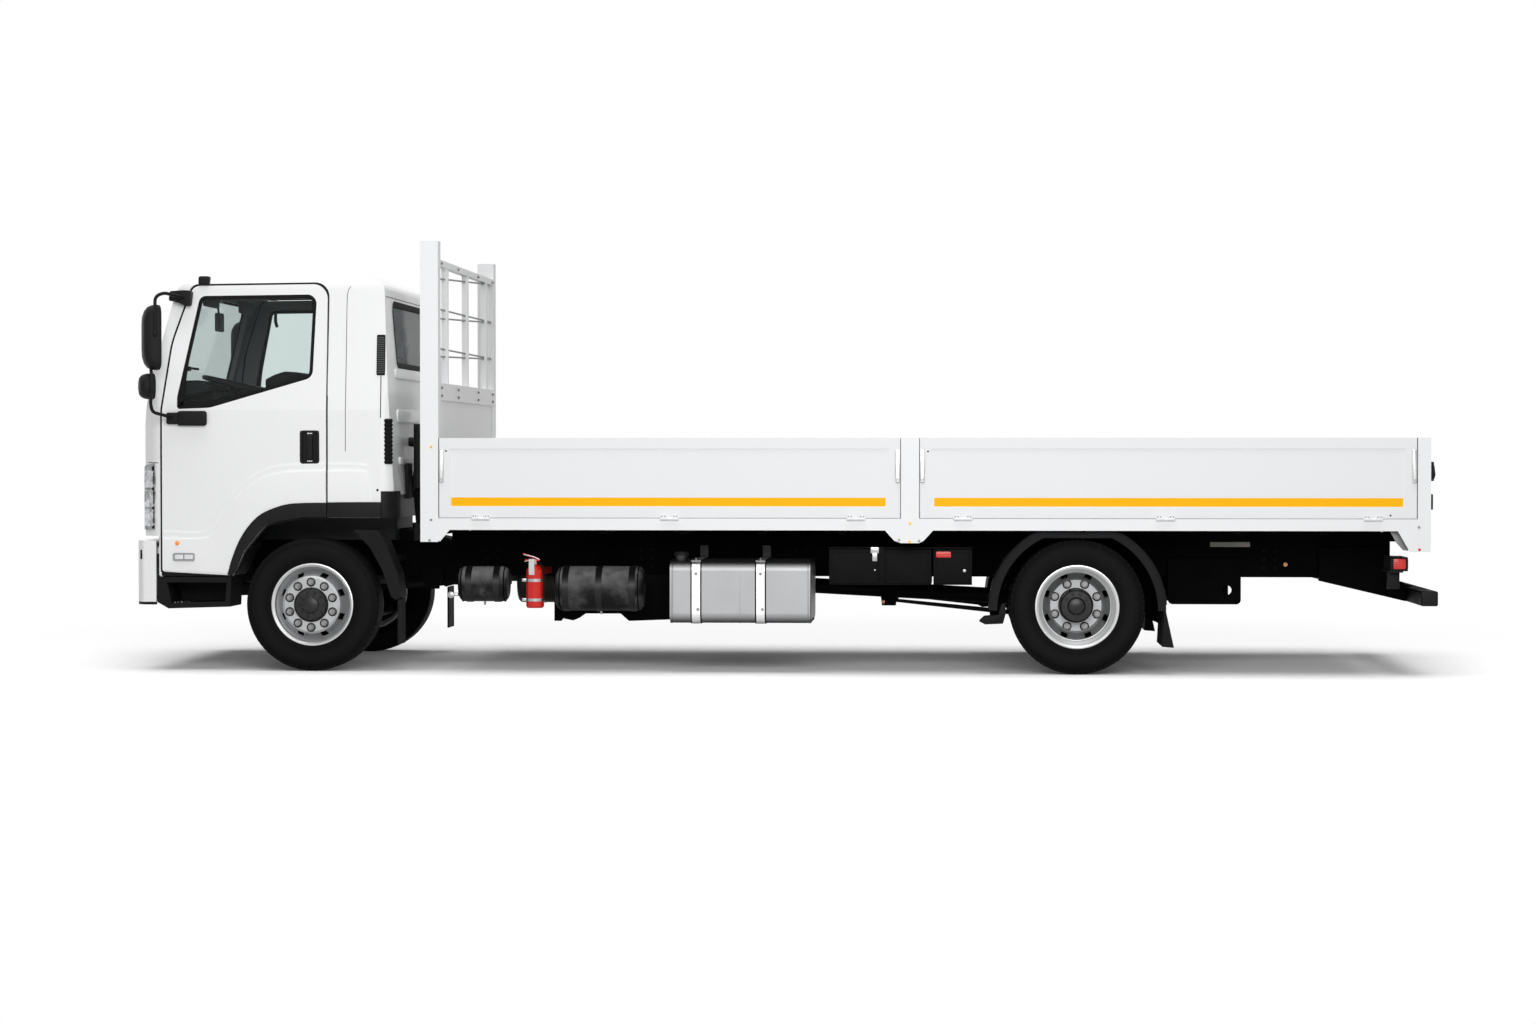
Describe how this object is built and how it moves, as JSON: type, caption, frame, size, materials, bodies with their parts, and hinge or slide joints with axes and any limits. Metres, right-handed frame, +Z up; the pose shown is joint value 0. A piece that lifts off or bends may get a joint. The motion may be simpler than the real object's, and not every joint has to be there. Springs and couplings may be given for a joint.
{
  "type": "dropside truck",
  "caption": "White two-axle dropside truck: forward-control cab, ladder frame, flat deck, hinged side boards with a yellow stripe, tailboard and a barred headboard.",
  "frame": {"origin": "centre of the bounding box in X and Y, on the ground", "axes": "+X forward, +Y to the truck's left, +Z up"},
  "size_m": [8.158, 2.67, 2.696],
  "materials": {
    "frame_black": "satin",
    "engine_grey": "satin",
    "exhaust_steel": "satin",
    "tank_aluminium": "satin",
    "strap_steel": "satin",
    "plastic_black": "matte",
    "red_paint": "gloss",
    "rubber_black": "matte",
    "white_paint": "gloss",
    "board_white": "satin",
    "deck_grey": "satin",
    "lamp_red": "gloss",
    "lamp_clear": "gloss",
    "tinted_glass": "gloss",
    "seat_fabric": "matte",
    "wheel_silver": "satin",
    "tyre_rubber": "matte"
  },
  "bodies": {
    "chassis": {"chassis_frame": "frame_black", "engine": "engine_grey", "driveline": "frame_black", "front_axle": "frame_black", "rear_axle": "frame_black", "leaf_springs": "frame_black", "fuel_tank": "tank_aluminium", "side_tanks": "frame_black", "tank_straps": "strap_steel", "side_lockers": "plastic_black", "fire_extinguisher": "red_paint", "exhaust": "exhaust_steel", "mudguards": "plastic_black", "mudflaps": "rubber_black", "front_bumper": "white_paint", "cab_steps": "plastic_black", "underrun_bar": "frame_black", "tail_lamps": "lamp_red", "intake_duct": "plastic_black", "deck_subframe": "frame_black", "deck_floor": "deck_grey", "deck_raves": "white_paint", "body_posts": "white_paint", "headboard": "white_paint"},
    "cab": {"cab_shell": "white_paint", "cab_glass": "tinted_glass", "front_panel": "plastic_black", "headlamps": "lamp_clear", "dashboard": "plastic_black", "seats": "seat_fabric", "steering_wheel": "plastic_black"},
    "tailboard": {"tailboard": "board_white"},
    "track_rod": {"track_rod": "frame_black"},
    "door_left": {"door_left": "white_paint", "door_glass_left": "tinted_glass", "mirror_left": "plastic_black"},
    "front_board_left": {"front_board_left": "board_white"},
    "rear_board_left": {"rear_board_left": "board_white"},
    "knuckle_left": {"knuckle_left": "frame_black"},
    "front_wheel_left": {"front_tyre_left": "tyre_rubber", "front_wheel_left": "wheel_silver", "front_hub_left": "frame_black"},
    "rear_wheels_left": {"rear_tyres_left": "tyre_rubber", "rear_wheels_left": "wheel_silver", "rear_hub_left": "frame_black"},
    "door_right": {"door_right": "white_paint", "door_glass_right": "tinted_glass", "mirror_right": "plastic_black"},
    "front_board_right": {"front_board_right": "board_white"},
    "rear_board_right": {"rear_board_right": "board_white"},
    "knuckle_right": {"knuckle_right": "frame_black"},
    "front_wheel_right": {"front_tyre_right": "tyre_rubber", "front_wheel_right": "wheel_silver", "front_hub_right": "frame_black"},
    "rear_wheels_right": {"rear_tyres_right": "tyre_rubber", "rear_wheels_right": "wheel_silver", "rear_hub_right": "frame_black"}
  },
  "joints": [
    {"name": "cab_tilt", "type": "hinge", "parent": "chassis", "child": "cab", "pos_m": [3.997, 0, 0.868], "axis": [0, 1, 0], "range_deg": [0, 45]},
    {"name": "tailboard_fold", "type": "hinge", "parent": "chassis", "child": "tailboard", "pos_m": [-4.035, 0, 0.966], "axis": [0, -1, 0], "range_deg": [0, 172]},
    {"name": "door_left_hinge", "type": "hinge", "parent": "cab", "child": "door_left", "pos_m": [3.875, 1.071, 1.13], "axis": [0, 0, -1], "range_deg": [0, 60]},
    {"name": "front_board_left_fold", "type": "hinge", "parent": "chassis", "child": "front_board_left", "pos_m": [0.716, 1.237, 0.966], "axis": [-1, 0, 0], "range_deg": [0, 178]},
    {"name": "rear_board_left_fold", "type": "hinge", "parent": "chassis", "child": "rear_board_left", "pos_m": [-2.384, 1.237, 0.966], "axis": [-1, 0, 0], "range_deg": [0, 178]},
    {"name": "steer_left", "type": "hinge", "parent": "chassis", "child": "knuckle_left", "pos_m": [2.929, 0.83, 0.42], "axis": [0, 0, 1], "range_deg": [-35, 35]},
    {"name": "front_wheel_left_spin", "type": "hinge", "parent": "knuckle_left", "child": "front_wheel_left", "pos_m": [2.929, 0.978, 0.42], "axis": [0, 1, 0], "continuous": true},
    {"name": "rear_wheels_left_spin", "type": "hinge", "parent": "chassis", "child": "rear_wheels_left", "pos_m": [-1.871, 0.8905, 0.42], "axis": [0, 1, 0], "continuous": true},
    {"name": "door_right_hinge", "type": "hinge", "parent": "cab", "child": "door_right", "pos_m": [3.875, -1.071, 1.13], "axis": [0, 0, 1], "range_deg": [0, 60]},
    {"name": "front_board_right_fold", "type": "hinge", "parent": "chassis", "child": "front_board_right", "pos_m": [0.716, -1.237, 0.966], "axis": [1, 0, 0], "range_deg": [0, 178]},
    {"name": "rear_board_right_fold", "type": "hinge", "parent": "chassis", "child": "rear_board_right", "pos_m": [-2.384, -1.237, 0.966], "axis": [1, 0, 0], "range_deg": [0, 178]},
    {"name": "steer_right", "type": "hinge", "parent": "chassis", "child": "knuckle_right", "pos_m": [2.929, -0.83, 0.42], "axis": [0, 0, 1], "range_deg": [-35, 35]},
    {"name": "front_wheel_right_spin", "type": "hinge", "parent": "knuckle_right", "child": "front_wheel_right", "pos_m": [2.929, -0.978, 0.42], "axis": [0, 1, 0], "continuous": true},
    {"name": "rear_wheels_right_spin", "type": "hinge", "parent": "chassis", "child": "rear_wheels_right", "pos_m": [-1.871, -0.8905, 0.42], "axis": [0, 1, 0], "continuous": true},
    {"name": "track_rod_swing", "type": "hinge", "parent": "knuckle_left", "child": "track_rod", "pos_m": [2.739, 0.83, 0.294], "axis": [0, 0, 1], "range_deg": [-35, 35]}
  ],
  "couplings": [
    {"joint": "steer_right", "follows": "steer_left", "ratio": 1},
    {"joint": "track_rod_swing", "follows": "steer_left", "ratio": -1}
  ]
}
